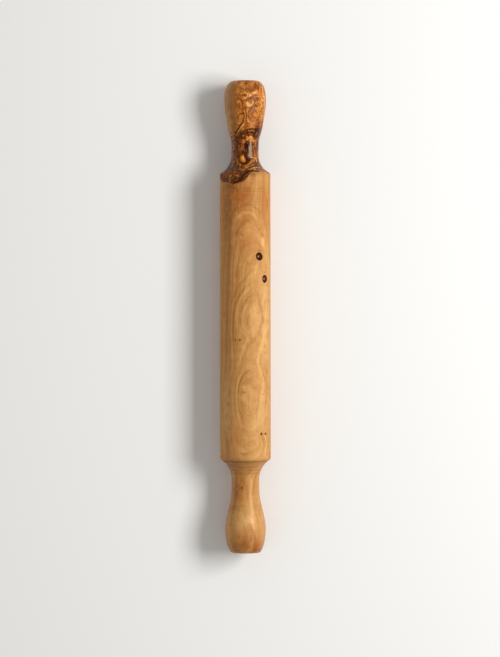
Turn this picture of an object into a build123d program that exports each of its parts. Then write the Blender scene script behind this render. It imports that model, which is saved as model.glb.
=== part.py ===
from build123d import *
from math import atan2, cos, degrees, radians, sin, tan
import os

# French rolling pin, turned in one piece from olive wood.
# The pin lies along X as it lies on a table, and the burl grip points to +X.
# The table is z = 0, and the origin is on the table under the middle of the pin.
# Sizes are in millimetres and angles in degrees.
# An angle round the pin is counted from the top towards -Y.
# A distance on to a grip is counted from the barrel's end, and one on to the barrel from the same place.

# Barrel
barrel_diameter = 43.0
barrel_length = 242.0

# Plain grip, at -X
plain_grip_length = 79.5
plain_end_face_diameter = 23.0
plain_end_pull_share = 0.45
plain_crown_pull_share = 0.60
plain_bulb_diameter = 34.0
plain_bulb_setback = 20.0
plain_bulb_round_share = 0.12
plain_foot_round_share = 0.16
plain_neck_diameter = 23.6
plain_neck_length = 8.6
plain_shoulder_angle = 52.0
plain_cove_share = 0.755
plain_edge_share = 0.10

# Burl grip, at +X
burl_grip_length = 78.5
burl_end_face_diameter = 19.4
burl_end_pull_share = 0.50
burl_crown_pull_share = 0.70
burl_bulb_diameter = 35.4
burl_bulb_setback = 15.2
burl_bulb_round_share = 0.25
burl_foot_round_share = 0.072
burl_neck_diameter = 23.6
burl_neck_length = 11.0
burl_shoulder_angle = 56.0
burl_cove_share = 0.66
burl_edge_share = 0.18

# How far a rounding's curve is pulled into the corner that it rounds
corner_pull_share = 0.6

# Line cut with the tip of the gouge round the plain shoulder
gouge_line_width = 0.9
gouge_line_depth = 0.35

# Dried wood has shrunk away from every dead knot and bark pocket by this much
shrinkage_gap = 0.12

# Large dead knots on the barrel: distance from the burl shoulder, angle round the pin,
# width, depth, and lean of the branch towards the burl grip
upper_knot_onto_barrel = 70.5
upper_knot_angle = 34.0
upper_knot_diameter = 6.7
upper_knot_depth = 14.0
upper_knot_lean = 0.0
lower_knot_onto_barrel = 89.2
lower_knot_angle = 50.5
lower_knot_diameter = 5.9
lower_knot_depth = 15.0
lower_knot_lean = 30.0
barrel_knot_bark_thickness = 0.85

# Ringed knot in the burl cove, square to its surface, at a share of the way from neck to shoulder
neck_knot_on_cove_share = 0.30
neck_knot_angle = 38.0
neck_knot_diameter = 3.9
neck_knot_depth = 7.0
neck_knot_recess = 0.2
neck_knot_bark_thickness = 0.55

# Pin knots, each one a thin dark stub; the pairs are placed from the plain shoulder
pin_knot_depth = 6.0
pin_knot_lean = 12.0
first_pair_onto_barrel = 101.1
first_pair_angles = (-22.5, -13.0)
first_pair_diameters = (1.5, 1.9)
second_pair_onto_barrel = 22.0
second_pair_angles = (39.0, 52.5)
second_pair_diameters = (2.2, 1.9)
grip_knot_onto_grip = 23.8
grip_knot_angle = -16.0
grip_knot_diameter = 1.6
burl_eye_onto_grip = 23.2
burl_eye_angle = 5.0
burl_eye_diameter = 3.6

# Bark pockets: each follows one arc or two, seen from above, with three points to an arc
# A point is a distance on to the burl grip, and a distance from the pin's middle towards +Y
# Each point has a share of the pocket's width
shoulder_pocket_width = 2.1
shoulder_pocket_depth = 10.5
shoulder_pocket_points = ((-9.7, 10.5), (-6.3, 4.4), (-0.1, -0.4), (1.4, -5.0), (0.9, -11.5))
shoulder_pocket_width_shares = (0.25, 1.0, 0.6, 0.5, 0.25)
neck_pocket_width = 1.5
neck_pocket_depth = 7.3
neck_pocket_points = ((44.1, 0.6), (38.1, 5.4), (31.0, 8.8))
neck_pocket_width_shares = (0.3, 1.0, 0.3)
ridge_pocket_width = 1.4
ridge_pocket_depth = 6.3
ridge_pocket_points = ((34.5, 2.4), (37.1, -3.6), (35.8, -10.2))
ridge_pocket_width_shares = (0.3, 1.0, 0.3)

# Natural hollow in the burl shoulder, which the turning left open
hollow_onto_grip = 3.7
hollow_radius = 5.2
hollow_centre_depth = 0.7
hollow_angle = -90.0

# Cuts run past the surface by this much
overrun = 3.0

barrel_radius = barrel_diameter / 2
pin_length = plain_grip_length + barrel_length + burl_grip_length
plain_end = -pin_length / 2
burl_end = pin_length / 2
plain_shoulder = plain_end + plain_grip_length
burl_shoulder = burl_end - burl_grip_length
table_to_axis = barrel_radius

# A grip's own values, in the order in which grip_outline takes them
plain_grip = (
    plain_end, 1, plain_grip_length, plain_end_face_diameter, plain_end_pull_share, plain_crown_pull_share,
    plain_bulb_diameter, plain_bulb_setback, plain_bulb_round_share, plain_foot_round_share,
    plain_neck_diameter, plain_neck_length, plain_shoulder_angle, plain_cove_share, plain_edge_share,
)
burl_grip = (
    burl_end, -1, burl_grip_length, burl_end_face_diameter, burl_end_pull_share, burl_crown_pull_share,
    burl_bulb_diameter, burl_bulb_setback, burl_bulb_round_share, burl_foot_round_share,
    burl_neck_diameter, burl_neck_length, burl_shoulder_angle, burl_cove_share, burl_edge_share,
)


def rounded_corner(start, corner, end):
    """Curve from start to end, tangent to the two lines that meet in the corner."""
    return Bezier(
        start,
        start + (corner - start) * corner_pull_share,
        end + (corner - end) * corner_pull_share,
        end,
    )


def grip_outline(
    end_face, inward, length, end_face_diameter, end_pull, crown_pull, bulb_diameter, setback, bulb_round,
    foot_round, neck_diameter, neck_length, shoulder_angle, cove_share, edge_share,
):
    """Edges from the middle of a grip's end face to the barrel, and the one of them that is its cove."""

    def point(distance, radius):
        return Vector(end_face + inward * distance, radius)

    face_radius = end_face_diameter / 2
    bulb_radius = bulb_diameter / 2
    neck_radius = neck_diameter / 2
    slope = radians(shoulder_angle)
    shoulder_height = barrel_radius - neck_radius
    slant = shoulder_height / sin(slope)
    cone_foot = length - shoulder_height / tan(slope)

    cove_start = cone_foot - cove_share * slant
    cove_end = cone_foot + cove_share * slant * cos(slope)
    cove_top = neck_radius + cove_share * shoulder_height
    edge_start = length - edge_share * slant * cos(slope)
    edge_foot = barrel_radius - edge_share * shoulder_height
    edge_end = length + edge_share * slant
    waist = cove_start - neck_length

    bulb_reach = bulb_round * (waist - setback)
    foot_reach = foot_round * (waist - setback)
    taper_top = point(setback + bulb_reach, bulb_radius)
    taper_foot = point(waist - foot_reach, neck_radius)
    taper_way = (taper_foot - taper_top).normalized()
    taper_start = taper_top + taper_way * bulb_reach
    taper_end = taper_foot - taper_way * foot_reach

    cove = rounded_corner(
        point(cove_start, neck_radius), point(cone_foot, neck_radius), point(cove_end, cove_top),
    )
    edges = [
        Line(point(0, 0), point(0, face_radius)),
        Bezier(
            point(0, face_radius),
            point(0, face_radius + end_pull * (bulb_radius - face_radius)),
            point(setback * (1 - crown_pull), bulb_radius),
            point(setback, bulb_radius),
        ),
        rounded_corner(point(setback, bulb_radius), taper_top, taper_start),
        Line(taper_start, taper_end),
        rounded_corner(taper_end, taper_foot, point(waist, neck_radius)),
        Line(point(waist, neck_radius), point(cove_start, neck_radius)),
        cove,
        Line(point(cove_end, cove_top), point(edge_start, edge_foot)),
        rounded_corner(
            point(edge_start, edge_foot), point(length, barrel_radius), point(edge_end, barrel_radius),
        ),
    ]
    return edges, cove


plain_edges, _ = grip_outline(*plain_grip)
burl_edges, burl_cove = grip_outline(*burl_grip)


def turned_blank():
    """The whole pin as it comes off the lathe, before its natural openings."""
    closing = [Line(plain_edges[-1] @ 1, burl_edges[-1] @ 1), Line(plain_edges[0] @ 0, burl_edges[0] @ 0)]
    outline = Wire.combine(plain_edges + burl_edges + closing)[0]
    return revolve(make_face(outline), Axis.X)


def gouge_line():
    """V groove round the plain shoulder, just above the cove."""
    slope = radians(plain_shoulder_angle)
    shoulder_height = barrel_radius - plain_neck_diameter / 2
    down = Vector(-cos(slope), -sin(slope)) * (gouge_line_width / 2)
    inward = Vector(sin(slope), -cos(slope)) * gouge_line_depth
    corner = Vector(plain_shoulder, barrel_radius)
    centre = corner + down.normalized() * ((1 - plain_cove_share) * shoulder_height / sin(slope)) - down
    outline = Polyline(
        centre - down, centre + inward, centre + down,
        centre + down - inward, centre - down - inward, close=True,
    )
    return revolve(make_face(outline), Axis.X)


def natural_hollow():
    """Ball that is scooped out of the burl shoulder."""
    centre = Pos(burl_shoulder + hollow_onto_grip, 0, barrel_radius - hollow_centre_depth)
    return Rot(X=hollow_angle) * centre * Sphere(hollow_radius)


def branch_stub(along, mouth_radius, angle, lean, above, diameter, depth, grow=0):
    """Round stub of a branch, from its depth in the pin to its height above its mouth."""
    stub = Cylinder(
        diameter / 2 + grow, depth + grow + above, align=(Align.CENTER, Align.CENTER, Align.MIN),
    )
    mouth = Rot(X=angle) * Pos(along, 0, mouth_radius) * Rot(Y=lean)
    return mouth * Pos(0, 0, -depth - grow) * stub


def pocket_blade(points, width, width_shares, floor, grow=0):
    """Upright blade over the arcs of a bark pocket, from its floor to above the pin."""
    places = [Vector(burl_shoulder + onto, across) for onto, across in points]
    left, right = [], []
    last = len(places) - 1
    for index, (place, share) in enumerate(zip(places, width_shares)):
        way = (places[min(index + 1, last)] - places[max(index - 1, 0)]).normalized()
        sideways = Vector(-way.Y, way.X) * (width * share / 2 + grow)
        lengthen = way * grow * ((index == last) - (index == 0))
        left.append(place + lengthen + sideways)
        right.append(place + lengthen - sideways)
    sides = [Line(left[-1], right[-1]), Line(right[0], left[0])]
    for side in (left, right):
        for index in range(0, last, 2):
            sides.append(ThreePointArc(*side[index:index + 3]))
    outline = Wire.combine(sides)[0]
    height = barrel_radius + overrun - floor + grow
    return Pos(0, 0, floor - grow) * extrude(make_face(outline), height)


# Places of the knots: along the pin, radius of the surface there, angle, lean and height above the mouth
plain_neck_radius = plain_neck_diameter / 2
burl_neck_radius = burl_neck_diameter / 2
neck_knot_mouth = burl_cove @ neck_knot_on_cove_share
neck_knot_way = burl_cove % neck_knot_on_cove_share
neck_knot_lean = degrees(atan2(neck_knot_way.Y, -neck_knot_way.X))
first_pair_along = plain_shoulder + first_pair_onto_barrel
second_pair_along = plain_shoulder + second_pair_onto_barrel

upper_knot_place = (
    burl_shoulder - upper_knot_onto_barrel, barrel_radius, upper_knot_angle, upper_knot_lean, overrun,
)
lower_knot_place = (
    burl_shoulder - lower_knot_onto_barrel, barrel_radius, lower_knot_angle, lower_knot_lean, overrun,
)
neck_knot_place = (
    neck_knot_mouth.X, neck_knot_mouth.Y, neck_knot_angle, neck_knot_lean, -neck_knot_recess,
)
grip_knot_place = (
    plain_shoulder - grip_knot_onto_grip, plain_neck_radius, grip_knot_angle, pin_knot_lean, overrun,
)
burl_eye_place = (
    burl_shoulder + burl_eye_onto_grip, burl_neck_radius, burl_eye_angle, pin_knot_lean, overrun,
)

ringed_knots = {
    "upper_knot": (upper_knot_place, upper_knot_diameter, upper_knot_depth, barrel_knot_bark_thickness),
    "lower_knot": (lower_knot_place, lower_knot_diameter, lower_knot_depth, barrel_knot_bark_thickness),
    "neck_knot": (neck_knot_place, neck_knot_diameter, neck_knot_depth, neck_knot_bark_thickness),
}

pin_knots = {
    "grip_pin_knot": (grip_knot_place, grip_knot_diameter),
    "burl_eye": (burl_eye_place, burl_eye_diameter),
}
barrel_pin_knot_places = (
    [(first_pair_along, angle) for angle in first_pair_angles]
    + [(second_pair_along, angle) for angle in second_pair_angles]
)
barrel_pin_knot_diameters = first_pair_diameters + second_pair_diameters
for number, ((along, angle), diameter) in enumerate(
    zip(barrel_pin_knot_places, barrel_pin_knot_diameters), start=1,
):
    place = (along, barrel_radius, angle, pin_knot_lean, overrun)
    pin_knots[f"barrel_pin_knot_{number}"] = (place, diameter)

bark_pockets = {
    "shoulder_bark_pocket": (
        shoulder_pocket_points, shoulder_pocket_width, shoulder_pocket_width_shares,
        barrel_radius - shoulder_pocket_depth,
    ),
    "neck_bark_pocket": (
        neck_pocket_points, neck_pocket_width, neck_pocket_width_shares,
        burl_neck_radius - neck_pocket_depth,
    ),
    "ridge_bark_pocket": (
        ridge_pocket_points, ridge_pocket_width, ridge_pocket_width_shares,
        burl_neck_radius - ridge_pocket_depth,
    ),
}

blank = turned_blank() - gouge_line() - natural_hollow()
pieces = {}
sockets = []

for name, (place, diameter, depth, bark_thickness) in ringed_knots.items():
    heart = (*place, diameter - 2 * bark_thickness, depth - bark_thickness)
    stub = (*place, diameter, depth)
    pieces[name + "_heart"] = branch_stub(*heart) & blank
    pieces[name + "_bark"] = (branch_stub(*stub) - branch_stub(*heart, shrinkage_gap)) & blank
    sockets.append(branch_stub(*stub, shrinkage_gap))

for name, (place, diameter) in pin_knots.items():
    stub = (*place, diameter, pin_knot_depth)
    pieces[name] = branch_stub(*stub) & blank
    sockets.append(branch_stub(*stub, shrinkage_gap))

for name, pocket in bark_pockets.items():
    pieces[name] = pocket_blade(*pocket) & blank
    sockets.append(pocket_blade(*pocket, shrinkage_gap))

body = blank
for socket in sockets:
    body = body - socket
pieces["turned_body"] = body

os.makedirs("parts", exist_ok=True)
for name, piece in pieces.items():
    export_step(Pos(0, 0, table_to_axis) * piece, f"parts/{name}.step")
    print(f"{name}: {len(piece.solids())} solid, {piece.volume:.1f} cubic millimetres")
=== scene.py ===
import math
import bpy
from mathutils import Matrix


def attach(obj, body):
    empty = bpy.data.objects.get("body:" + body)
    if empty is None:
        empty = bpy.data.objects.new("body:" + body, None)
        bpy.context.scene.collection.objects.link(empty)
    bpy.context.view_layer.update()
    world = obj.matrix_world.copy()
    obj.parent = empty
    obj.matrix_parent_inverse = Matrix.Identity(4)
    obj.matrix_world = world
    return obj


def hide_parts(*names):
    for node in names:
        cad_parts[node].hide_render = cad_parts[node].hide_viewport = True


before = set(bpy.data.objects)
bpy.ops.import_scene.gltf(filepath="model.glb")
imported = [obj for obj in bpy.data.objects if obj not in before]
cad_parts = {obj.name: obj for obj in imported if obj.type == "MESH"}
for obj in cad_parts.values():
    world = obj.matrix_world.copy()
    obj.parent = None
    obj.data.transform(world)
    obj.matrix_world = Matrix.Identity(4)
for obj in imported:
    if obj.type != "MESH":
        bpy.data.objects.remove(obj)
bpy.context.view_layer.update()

from types import SimpleNamespace

import bmesh
import bpy
import numpy as np
from mathutils import Matrix, Vector

# An olive wood rolling pin, turned in one piece, lying along X with its burl grip at +X.
# Sizes are in millimetres and angles in degrees; MM turns them into metres.
# A place on the pin is given by X, its distance along the axis from the middle, and by an angle
# round the pin, counted from the top towards -Y. The figure of the wood gives X and Y, seen from above.
MM = 0.001

# Turned shape
BARREL_RADIUS = 21.5
AXIS_HEIGHT = BARREL_RADIUS
PIN_END = 200.0
PLAIN_GRIP = SimpleNamespace(
    length=79.5, face=11.5, end_pull=0.45, crown_pull=0.60, bulb=17.0, setback=20.0, bulb_round=0.12,
    foot_round=0.16, neck=11.8, neck_length=8.6, slope=52.0, cove=0.755, edge=0.10)
BURL_GRIP = SimpleNamespace(
    length=78.5, face=9.7, end_pull=0.50, crown_pull=0.70, bulb=17.7, setback=15.2, bulb_round=0.25,
    foot_round=0.072, neck=11.8, neck_length=11.0, slope=56.0, cove=0.66, edge=0.18)
CORNER_PULL = 0.6
BURL_SHOULDER = PIN_END - BURL_GRIP.length

# Stretches where the hand tool left a little more wood, or took a little more: X, half-length, height
FULLNESS = [(159.0, 5.5, 0.5), (-173.0, 14.0, 0.35), (143.0, 8.0, -0.3), (119.6, 1.6, 0.35)]

# Tool marks round the pin: X, half-width, depth
GROOVES = [
    (-122.15, 0.38, 0.40), (-124.2, 0.5, 0.07), (-126.6, 0.6, 0.10), (-129.4, 0.6, 0.09),
    (-132.3, 0.7, 0.06), (-160.3, 0.3, 0.05), (-162.0, 0.3, 0.05), (-163.6, 0.3, 0.04),
    (-192.6, 0.5, 0.05), (95.0, 0.35, 0.035), (97.2, 0.35, 0.045), (99.1, 0.35, 0.04),
    (101.4, 0.35, 0.05), (103.3, 0.35, 0.04), (105.6, 0.4, 0.05), (108.0, 0.4, 0.04),
    (191.0, 0.5, 0.04)]
TOOL_PITCH = 2.3
TOOL_HEIGHT = 0.010
# Height of the slow waves in the barrel, and how far from the middle they go
WAVINESS = 0.035
WAVY_HALF = 118.0

# The burl: its edge at the shoulder, how far it laps over the barrel on one side, the angle that its side
# of the bulb faces, where plain wood starts on the bulb, and the angles away from the burl's side between
# which plain wood takes over there
BURL_EDGE = BURL_SHOULDER + 0.8
BURL_LAP = 8.4
BURL_ANGLE = 75.0
PLAIN_BULB_START = 159.0
PLAIN_BULB_ANGLES = (72.0, 132.0)
# Waves in the burl's edge: height, number round the pin, turn
BURL_EDGE_WAVES = [(1.1, 3, 20), (0.8, 7, 80)]
# Relief of the burl: height, wavelength, seed
BURL_RELIEF = ((0.05, 9.0, 11), (0.010, 3.2, 12))

# Natural hollow in the burl shoulder: X, angle, distance of its centre from the axis, radius
HOLLOW = (125.2, -90.0, 20.8, 5.2)
HOLLOW_UNEVENNESS = 0.07

# Radius of the cylinder that the surface's marks are worked out on, and how far inside the barrel's
# radius they stay
PATTERN_RADIUS = 20.0
MARK_CLEARANCE = 0.002

# Dried-out gap round everything that the wood grew round
GAP = 0.12

# The body's mesh: points round it, steps between its rows on the barrel, grips and end faces, where the
# rows of the grips start, and the radius out to which those of the end faces go
COLUMNS = 240
BARREL_STEP, GRIP_STEP, FACE_STEP = 0.7, 0.5, 1.0
GRIP_ROWS_START = 110.0
FACE_ROWS_REACH = 8.0
# Flat part of an end face, and the faint rings on it
FACE_REACH = 9.0
RING_PITCH, RING_HEIGHT, RING_DEPTH = 2.4, 0.10, 0.22


def across_up(angle):
    """Y and Z of a unit vector at an angle round the pin."""
    turn = np.radians(angle)
    return -np.sin(turn), np.cos(turn)


def angle_and_radius(p):
    """Angle round the pin and distance from its axis, of points round the axis."""
    return np.degrees(np.arctan2(-p[:, 1], p[:, 2])), np.hypot(p[:, 1], p[:, 2])


def smooth(x, low, high):
    """Soft step from 0 at the low value to 1 at the high one."""
    t = np.clip((x - low) / (high - low), 0.0, 1.0)
    return t * t * (3 - 2 * t)


def hump(x, middle, half):
    """Bell curve of height 1."""
    return np.exp(-((x - middle) / half) ** 2)


def ripple(points, wavelength, seed, waves=9):
    """Smooth seeded noise, about -1 to 1, as a sum of plane waves; wavelength is one size or three."""
    rng = np.random.default_rng(seed)
    total = np.zeros(len(points))
    size = np.broadcast_to(np.asarray(wavelength, float), (3,))
    for _ in range(waves):
        way = rng.normal(size=3)
        way /= np.linalg.norm(way)
        steps = 2 * np.pi * rng.uniform(0.6, 1.5) * way / size
        total += np.sin(points @ steps + rng.uniform(0, 2 * np.pi))
    return total / math.sqrt(waves / 2) / 1.6


def smooth_curve(knots, values, t):
    """Curve through the values, made of cubic pieces with matching slopes."""
    knots = np.asarray(knots, float)
    values = np.asarray(values, float)
    slope = np.gradient(values, knots)
    i = np.clip(np.searchsorted(knots, t, side="right") - 1, 0, len(knots) - 2)
    step = knots[i + 1] - knots[i]
    s = (t - knots[i]) / step
    return (
        (2 * s ** 3 - 3 * s ** 2 + 1) * values[i] + (s ** 3 - 2 * s ** 2 + s) * step * slope[i]
        + (-2 * s ** 3 + 3 * s ** 2) * values[i + 1] + (s ** 3 - s ** 2) * step * slope[i + 1])


def lengths_along(points):
    """Distance along a line of points, from its first point to each."""
    return np.concatenate([[0], np.cumsum(np.linalg.norm(np.diff(points, axis=0), axis=1))])


def bezier(p, count):
    """Points of a cubic curve with four control points."""
    t = np.linspace(0, 1, count)[:, None]
    a, b, c, d = (np.asarray(q, float) for q in p)
    return (1 - t) ** 3 * a + 3 * t * (1 - t) ** 2 * b + 3 * t * t * (1 - t) * c + t ** 3 * d


def rounded(start, corner, end, count=60):
    """Points of a rounded corner."""
    start, corner, end = (np.asarray(q, float) for q in (start, corner, end))
    pulls = [q + (corner - q) * CORNER_PULL for q in (start, end)]
    return bezier((start, *pulls, end), count)


def grip_outline(grip):
    """Points (distance from the end face, radius) from the rim of the end face to the barrel."""
    slope = math.radians(grip.slope)
    height = BARREL_RADIUS - grip.neck
    slant = height / math.sin(slope)
    foot = grip.length - height / math.tan(slope)
    cove_start = foot - grip.cove * slant
    cove_end = (foot + grip.cove * slant * math.cos(slope), grip.neck + grip.cove * height)
    edge_start = (grip.length - grip.edge * slant * math.cos(slope), BARREL_RADIUS - grip.edge * height)
    edge_end = (grip.length + grip.edge * slant, BARREL_RADIUS)
    waist = cove_start - grip.neck_length
    run = waist - grip.setback
    top = np.array((grip.setback + grip.bulb_round * run, grip.bulb))
    low = np.array((waist - grip.foot_round * run, grip.neck))
    way = (low - top) / np.linalg.norm(low - top)
    crown = bezier((
        (0, grip.face), (0, grip.face + grip.end_pull * (grip.bulb - grip.face)),
        (grip.setback * (1 - grip.crown_pull), grip.bulb), (grip.setback, grip.bulb)), 200)
    return np.concatenate([
        crown,
        rounded((grip.setback, grip.bulb), top, top + way * grip.bulb_round * run),
        rounded(low - way * grip.foot_round * run, low, (waist, grip.neck)),
        rounded((cove_start, grip.neck), (foot, grip.neck), cove_end),
        rounded(edge_start, (grip.length, BARREL_RADIUS), edge_end)])


def pin_outline(step=0.05):
    """Points (X, radius) at even steps, from the middle of one end face to the middle of the other."""
    plain = grip_outline(PLAIN_GRIP) + (-PIN_END, 0)
    burl = grip_outline(BURL_GRIP)[::-1] * (-1, 1) + (PIN_END, 0)
    points = np.concatenate([[(-PIN_END, 0.0)], plain, burl, [(PIN_END, 0.0)]])
    run = lengths_along(points)
    keep = np.concatenate([[True], np.diff(run) > 1e-6])
    even = np.arange(0, run[-1], step)
    return np.stack([np.interp(even, run[keep], points[keep, k]) for k in (0, 1)], axis=1)


OUTLINE = pin_outline()
SIDE = OUTLINE[OUTLINE[:, 1] > FACE_REACH]


def turned_radius(x):
    """Radius that the hand tool left at X, without its marks."""
    return np.interp(x, SIDE[:, 0], SIDE[:, 1])


def burl_share(x, angle, outward=1.0):
    """How much of the burl shows at a place: 0 is plain wood, 1 is burl.

    On an end face, outward is the distance from its middle as a share of its radius.
    """
    wave = sum(rise * np.sin(np.radians(angle * count + turn)) for rise, count, turn in BURL_EDGE_WAVES)
    lap = BURL_LAP * smooth(-angle, -18, 6) * smooth(angle, -100, -60)
    edge = BURL_EDGE - lap + wave * smooth(np.abs(angle - 20), 20, 50)
    neck = smooth(x, edge - 0.8, edge + 0.8)
    towards_burl = np.clip(outward * np.cos(np.radians(angle - BURL_ANGLE)), -1, 1)
    plain_side = smooth(np.degrees(np.arccos(towards_burl)), *PLAIN_BULB_ANGLES)
    bulb_edge = PLAIN_BULB_START + 3.0 * np.sin(np.radians(angle * 2 + 10))
    return neck * (1 - smooth(x, bulb_edge - 3, bulb_edge + 4) * plain_side)


def relief(x, angle, points):
    """Height of the surface over the turned outline."""
    out = TOOL_HEIGHT * np.sin(2 * np.pi * x / TOOL_PITCH + 0.6 * ripple(points, 60, 3))
    out += WAVINESS * ripple(points, (70, 40, 40), 5) * (np.abs(x) < WAVY_HALF)
    for place, width, depth in GROOVES:
        out -= depth * hump(x, place, width)
    burl = burl_share(x, angle)
    for height, size, seed in BURL_RELIEF:
        out += burl * height * ripple(points, size, seed, 16)
    for place, half, height in FULLNESS:
        out += height * hump(x, place, half)
    return out - WAVINESS - TOOL_HEIGHT


def surface_radius(x, angle):
    """Radius of the finished surface at a place, with tool marks, burl relief and the hollow."""
    y, z = across_up(angle)
    points = np.stack([x, PATTERN_RADIUS * y, PATTERN_RADIUS * z], axis=1)
    out = np.minimum(turned_radius(x) + relief(x, angle, points), BARREL_RADIUS - MARK_CLEARANCE)
    place, turn, centre, radius = HOLLOW
    away = np.radians((angle - turn + 180) % 360 - 180)
    reach = radius * (1 + HOLLOW_UNEVENNESS * ripple(points, 4, 21))
    under = reach ** 2 - (x - place) ** 2 - (centre * np.sin(away)) ** 2
    inner = centre * np.cos(away) - np.sqrt(np.maximum(under, 0))
    hit = (under > 0) & (np.cos(away) > 0) & (inner < out)
    return np.where(hit, inner, out)


def add_object(name, data):
    obj = bpy.data.objects.new(name, data)
    bpy.context.scene.collection.objects.link(obj)
    return obj


def mesh_object(name, points, faces):
    """Closed object from points in millimetres round the axis, moved up to the pin's place."""
    mesh = bpy.data.meshes.new(name)
    placed = (np.asarray(points, float) + (0, 0, AXIS_HEIGHT)) * MM
    mesh.from_pydata(placed.tolist(), [], [[int(i) for i in face] for face in faces])
    bm = bmesh.new()
    bm.from_mesh(mesh)
    bmesh.ops.remove_doubles(bm, verts=bm.verts, dist=1e-7)
    bmesh.ops.recalc_face_normals(bm, faces=bm.faces)
    bm.to_mesh(mesh)
    bm.free()
    return add_object(name, mesh)


# Pieces that the wood grew round

# Dead branch stubs with a ring of bark: node, X, angle, lean, radius of the surface there, radius,
# bark, depth, seed
RINGED = [
    ("upper_knot", 51.0, 34.0, 0.0, BARREL_RADIUS, 3.35, 0.85, 14.0, 41),
    ("lower_knot", 32.3, 50.5, 30.0, BARREL_RADIUS, 2.95, 0.85, 15.0, 42),
    ("neck_knot", 132.3, 38.0, 17.0, 12.2, 1.95, 0.55, 7.0, 43)]
# Pin knots: node, X, angle, radius of the surface there, radius, seed
PINS = [
    ("barrel_pin_knot_1", -19.4, -22.5, BARREL_RADIUS, 0.75, 51),
    ("barrel_pin_knot_2", -19.4, -13.0, BARREL_RADIUS, 0.95, 52),
    ("barrel_pin_knot_3", -98.5, 39.0, BARREL_RADIUS, 1.10, 53),
    ("barrel_pin_knot_4", -98.5, 52.5, BARREL_RADIUS, 0.95, 54),
    ("grip_pin_knot", -144.3, -16.0, PLAIN_GRIP.neck, 0.80, 55),
    ("burl_eye", 144.7, 5.0, BURL_GRIP.neck, 1.80, 56)]
# Knots and barks with a look of their own
BARK_KINDS = {
    "neck_knot": "brown", "burl_eye": "eye", "barrel_pin_knot_1": "faint", "barrel_pin_knot_2": "faint"}
HEART_KINDS = {"neck_knot": "pale_heart"}
# Where the pale spot of a heart lies, along the stub's u and v
PALE_SPOT = (0.1, 0.75)
PIN_DEPTH = 6.0
PIN_LEAN = 12.0
# Bark pockets: node, points (X, Y), width, shares of the width along it, radius of its floor, seed
POCKETS = [
    ("shoulder_bark_pocket", [(111.8, 10.5), (115.2, 4.4), (121.4, -0.4), (122.9, -5.0), (122.4, -11.5)],
     1.6, (0.2, 1.0, 0.65, 0.45, 0.2), 11.0, 61),
    ("neck_bark_pocket", [(165.6, 0.6), (159.6, 5.4), (152.5, 8.8)], 0.95, (0.3, 1.0, 0.3), 4.5, 62),
    ("ridge_bark_pocket", [(156.0, 2.4), (158.6, -3.6), (157.3, -10.2)], 0.95, (0.3, 1.0, 0.3), 5.5, 63)]
SOCKET_HEADROOM = 6.0
# Outlines of knots and pin knots: corners, how far they are out of round
KNOT_OUTLINE = (72, 0.10)
PIN_OUTLINE = (40, 0.12)
# Crumbled tops: wavelength, height, how deep they lie
BARK_TOP = (1.1, 0.09, 0.22)
PIN_TOP = (0.7, 0.04, 0.08)
POCKET_TOP = (1.3, 0.10, 0.20)
# How far the middle of a pocket wanders, and the share by which its width varies
POCKET_WANDER = 0.22
POCKET_VARIANCE = 0.30
# Dried top of a heart: how deep it lies, the height of its rings, and their pitch as a share of the knot
HEART_DEPTH = 0.16
HEART_RING_HEIGHT = 0.05
HEART_RING_SHARE = 0.22
# Its drying cracks: their directions in radians, half-width, depth, and their reach as a share of the knot
CRACK_TURNS = (0.7, -0.9)
CRACK_HALF = 0.22
CRACK_DEPTH = 0.30
CRACK_SHARE = 0.62


def stub_axes(x, angle, lean, radius):
    """Origin and axes u, v, w of a stub; w points out of the pin and leans towards +X."""
    y, z = across_up(angle)
    out = np.array((0.0, y, z))
    ahead = np.array((1.0, 0.0, 0.0))
    tilt = math.radians(lean)
    w = out * math.cos(tilt) + ahead * math.sin(tilt)
    u = ahead * math.cos(tilt) - out * math.sin(tilt)
    return ahead * x + out * radius, u, np.cross(w, u), w


def round_outline(radius, seed, count, rough):
    """Closed outline round the origin, a little out of round."""
    t = np.linspace(0, 2 * np.pi, count, endpoint=False)
    rng = np.random.default_rng(seed)
    wave = sum(rng.uniform(0.4, 1.0) / n * np.cos(n * t + rng.uniform(0, 2 * np.pi)) for n in (2, 3, 5, 7))
    reach = radius * (1 + rough * wave)
    return np.stack([reach * np.cos(t), reach * np.sin(t)], axis=1)


def ribbon(points, width, shares, seed, steps=44):
    """Left and right sides of a winding pocket with ragged edges, and its middle line."""
    points = np.asarray(points, float)
    knots = np.linspace(0, 1, len(points))
    t = np.linspace(0, 1, steps)
    middle = np.stack([smooth_curve(knots, points[:, k], t) for k in (0, 1)], axis=1)
    rng = np.random.default_rng(seed)
    sways = rng.uniform(-POCKET_WANDER, POCKET_WANDER, 15)
    wander = np.interp(t, np.linspace(0, 1, 15), sways) * np.sin(np.pi * t)
    half = smooth_curve(knots, shares, t) * width / 2
    way = np.gradient(middle, axis=0)
    way /= np.linalg.norm(way, axis=1)[:, None]
    across = np.stack([-way[:, 1], way[:, 0]], axis=1)
    middle = middle + across * wander[:, None]
    sides = []
    for sign in (1, -1):
        rough = 1 + POCKET_VARIANCE * np.interp(t, np.linspace(0, 1, 21), rng.uniform(-1, 1, 21))
        sides.append(middle + sign * across * (half * rough)[:, None])
    return sides[0], sides[1], middle


def grown(outline, gap):
    """Closed outline moved outwards by a gap."""
    way = np.roll(outline, -1, axis=0) - np.roll(outline, 1, axis=0)
    way /= np.linalg.norm(way, axis=1)[:, None]
    return outline + np.stack([way[:, 1], -way[:, 0]], axis=1) * gap


def over(axes, uv, height):
    """Points at a height along w over places (u, v)."""
    origin, u, v, w = axes
    height = np.broadcast_to(np.asarray(height, float), (len(uv),))
    return origin + uv[:, :1] * u + uv[:, 1:] * v + height[:, None] * w


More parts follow.
